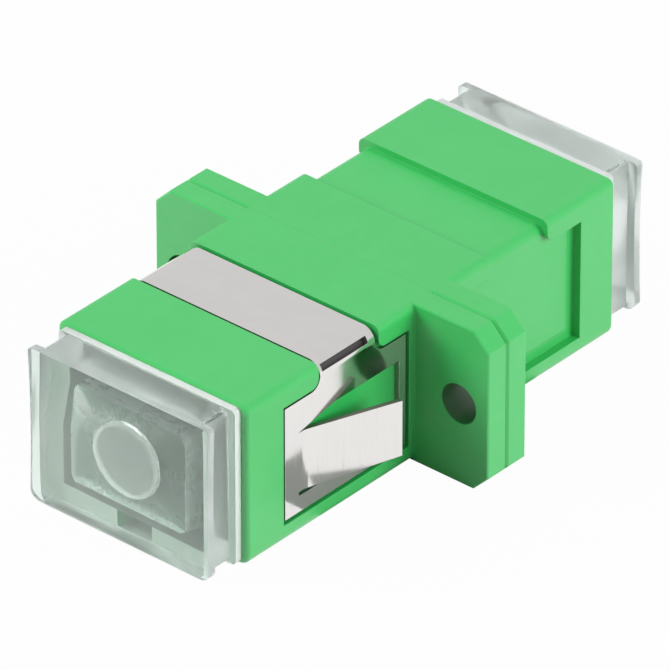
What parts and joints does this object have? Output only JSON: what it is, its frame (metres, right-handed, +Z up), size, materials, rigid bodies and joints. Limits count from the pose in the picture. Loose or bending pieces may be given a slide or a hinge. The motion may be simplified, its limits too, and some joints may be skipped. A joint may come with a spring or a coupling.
{
  "type": "sc fibre adapter",
  "caption": "Flanged adapter that joins two SC plugs end to end, with a metal panel clip and clear dust caps.",
  "frame": {"origin": "on the optical axis, in the joint between the two housing halves, which is the middle of the box", "axes": "+Y along the optical axis from the front port, which the clip's half carries, to the rear port; +Z up, away from the keyways; X across the ears"},
  "size_m": [0.0224, 0.0338, 0.0094],
  "materials": {
    "housing": "fine satin moulded PBT, green",
    "latch_holder": "natural white moulded plastic",
    "sleeve": "polished white zirconia",
    "clip": "bright rolled stainless sheet",
    "dust_cap": "clear soft plastic, slightly cloudy"
  },
  "bodies": {
    "adapter": {"front_housing": "housing", "rear_housing": "housing", "front_latch_holder": "latch_holder", "rear_latch_holder": "latch_holder", "split_sleeve": "sleeve", "panel_clip": "clip"},
    "front_cap": {"front_dust_cap": "dust_cap"},
    "rear_cap": {"rear_dust_cap": "dust_cap"}
  },
  "joints": [
    {"name": "front_cap_pull", "type": "slide", "parent": "adapter", "child": "front_cap", "axis": [0, -1, 0], "range_m": [0, 0.012]},
    {"name": "rear_cap_pull", "type": "slide", "parent": "adapter", "child": "rear_cap", "axis": [0, 1, 0], "range_m": [0, 0.012]}
  ]
}
